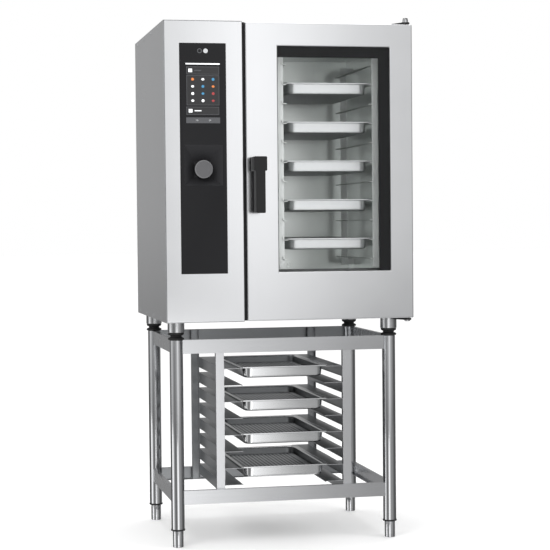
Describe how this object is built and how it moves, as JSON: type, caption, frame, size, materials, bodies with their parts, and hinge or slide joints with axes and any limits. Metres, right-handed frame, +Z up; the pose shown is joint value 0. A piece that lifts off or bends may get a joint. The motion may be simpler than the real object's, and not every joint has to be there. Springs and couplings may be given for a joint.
{
  "type": "combi steamer oven on stand",
  "caption": "Countertop combi steamer oven with glazed door and touch control column, on an open tube stand with runner racks and gastronorm pans.",
  "frame": {"origin": "on the floor, under the centre of the whole object's box", "axes": "+X to the user's right, +Y into the oven away from the door, +Z up"},
  "size_m": [0.895, 0.875, 1.8813],
  "materials": {
    "casing_steel": "brushed",
    "door_steel": "polished brushed",
    "stand_steel": "brushed",
    "cavity_steel": "bright rolled",
    "pan_steel": "deep drawn",
    "bright_steel": "machined",
    "foot_steel": "turned",
    "heater_steel": "heat darkened",
    "motor_iron": "cast, painted",
    "panel_black": "gloss",
    "handle_plastic": "satin moulded",
    "circuit_board": "matte",
    "seal_rubber": "matte",
    "mineral_wool": "fibrous",
    "door_glass": "float glass",
    "hinge_black": "powder coated",
    "knob_alloy": "satin anodised"
  },
  "bodies": {
    "oven_and_stand": {"left_side_panel": "casing_steel", "right_side_panel": "casing_steel", "top_panel": "casing_steel", "base_pan": "casing_steel", "rear_panel": "casing_steel", "control_fascia": "casing_steel", "control_panel": "panel_black", "display_module": "circuit_board", "cavity_liner": "cavity_steel", "fan_baffle": "cavity_steel", "cavity_rack_left": "cavity_steel", "cavity_rack_right": "cavity_steel", "insulation": "mineral_wool", "door_gasket": "seal_rubber", "heating_rings": "heater_steel", "fan_motor": "motor_iron", "upper_hinge": "hinge_black", "lower_hinge": "hinge_black", "steam_vent": "bright_steel", "service_connections": "bright_steel", "oven_foot_front_left": "foot_steel", "oven_foot_front_right": "foot_steel", "oven_foot_rear_left": "foot_steel", "oven_foot_rear_right": "foot_steel", "stand_leg_front_left": "stand_steel", "stand_leg_front_right": "stand_steel", "stand_leg_rear_left": "stand_steel", "stand_leg_rear_right": "stand_steel", "upper_rail_front": "stand_steel", "upper_rail_rear": "stand_steel", "upper_rail_left": "stand_steel", "upper_rail_right": "stand_steel", "lower_rail_front": "stand_steel", "lower_rail_rear": "stand_steel", "lower_rail_left": "stand_steel", "lower_rail_right": "stand_steel", "runner_rack_left": "stand_steel", "runner_rack_right": "stand_steel"},
    "fan": {"fan_wheel": "cavity_steel"},
    "encoder": {"encoder_shaft": "bright_steel"},
    "knob": {"knob": "knob_alloy"},
    "door": {"door_shell": "door_steel", "door_inner_frame": "door_steel", "door_outer_glass": "door_glass", "door_inner_glass": "door_glass"},
    "handle": {"door_handle": "handle_plastic", "door_latch": "bright_steel"},
    "foot_front_left": {"levelling_foot_front_left": "foot_steel"},
    "foot_front_right": {"levelling_foot_front_right": "foot_steel"},
    "foot_rear_left": {"levelling_foot_rear_left": "foot_steel"},
    "foot_rear_right": {"levelling_foot_rear_right": "foot_steel"},
    "oven_pan_1": {"oven_pan_1": "pan_steel"},
    "oven_pan_2": {"oven_pan_2": "pan_steel"},
    "oven_pan_3": {"oven_pan_3": "pan_steel"},
    "oven_pan_4": {"oven_pan_4": "pan_steel"},
    "oven_pan_5": {"oven_pan_5": "pan_steel"},
    "stand_pan_1": {"stand_pan_1": "pan_steel"},
    "stand_pan_2": {"stand_pan_2": "pan_steel"},
    "stand_pan_3": {"stand_pan_3": "pan_steel"},
    "stand_pan_4": {"stand_pan_4": "pan_steel"}
  },
  "joints": [
    {"name": "door_hinge", "type": "hinge", "parent": "oven_and_stand", "child": "door", "pos_m": [0.4275, -0.3405, 1.335], "axis": [0, 0, 1], "range_deg": [0, 130]},
    {"name": "handle_turn", "type": "hinge", "parent": "door", "child": "handle", "pos_m": [-0.1235, -0.4, 1.361], "axis": [0, -1, 0], "range_deg": [0, 90], "stiffness_Nm_per_rad": 0.6, "springref_deg": -11.46},
    {"name": "knob_press", "type": "slide", "parent": "oven_and_stand", "child": "encoder", "axis": [0, 1, 0], "range_m": [0, 0.003], "stiffness_N_per_m": 900, "springref_m": -0.001},
    {"name": "knob_turn", "type": "hinge", "parent": "encoder", "child": "knob", "pos_m": [-0.311, -0.3525, 1.344], "axis": [0, -1, 0], "continuous": true},
    {"name": "fan_spin", "type": "hinge", "parent": "oven_and_stand", "child": "fan", "pos_m": [-0.12, 0.023, 1.345], "axis": [1, 0, 0], "continuous": true},
    {"name": "foot_front_left", "type": "slide", "parent": "oven_and_stand", "child": "foot_front_left", "axis": [0, 0, 1], "range_m": [-0.03, 0.02]},
    {"name": "foot_front_right", "type": "slide", "parent": "oven_and_stand", "child": "foot_front_right", "axis": [0, 0, 1], "range_m": [-0.03, 0.02]},
    {"name": "foot_rear_left", "type": "slide", "parent": "oven_and_stand", "child": "foot_rear_left", "axis": [0, 0, 1], "range_m": [-0.03, 0.02]},
    {"name": "foot_rear_right", "type": "slide", "parent": "oven_and_stand", "child": "foot_rear_right", "axis": [0, 0, 1], "range_m": [-0.03, 0.02]},
    {"name": "oven_pan_1_slide", "type": "slide", "parent": "oven_and_stand", "child": "oven_pan_1", "axis": [0, -1, 0], "range_m": [0, 0.045]},
    {"name": "oven_pan_2_slide", "type": "slide", "parent": "oven_and_stand", "child": "oven_pan_2", "axis": [0, -1, 0], "range_m": [0, 0.045]},
    {"name": "oven_pan_3_slide", "type": "slide", "parent": "oven_and_stand", "child": "oven_pan_3", "axis": [0, -1, 0], "range_m": [0, 0.045]},
    {"name": "oven_pan_4_slide", "type": "slide", "parent": "oven_and_stand", "child": "oven_pan_4", "axis": [0, -1, 0], "range_m": [0, 0.045]},
    {"name": "oven_pan_5_slide", "type": "slide", "parent": "oven_and_stand", "child": "oven_pan_5", "axis": [0, -1, 0], "range_m": [0, 0.045]},
    {"name": "stand_pan_1_slide", "type": "slide", "parent": "oven_and_stand", "child": "stand_pan_1", "axis": [0, -1, 0], "range_m": [0, 0.4]},
    {"name": "stand_pan_2_slide", "type": "slide", "parent": "oven_and_stand", "child": "stand_pan_2", "axis": [0, -1, 0], "range_m": [0, 0.4]},
    {"name": "stand_pan_3_slide", "type": "slide", "parent": "oven_and_stand", "child": "stand_pan_3", "axis": [0, -1, 0], "range_m": [0, 0.4]},
    {"name": "stand_pan_4_slide", "type": "slide", "parent": "oven_and_stand", "child": "stand_pan_4", "axis": [0, -1, 0], "range_m": [0, 0.4]}
  ]
}
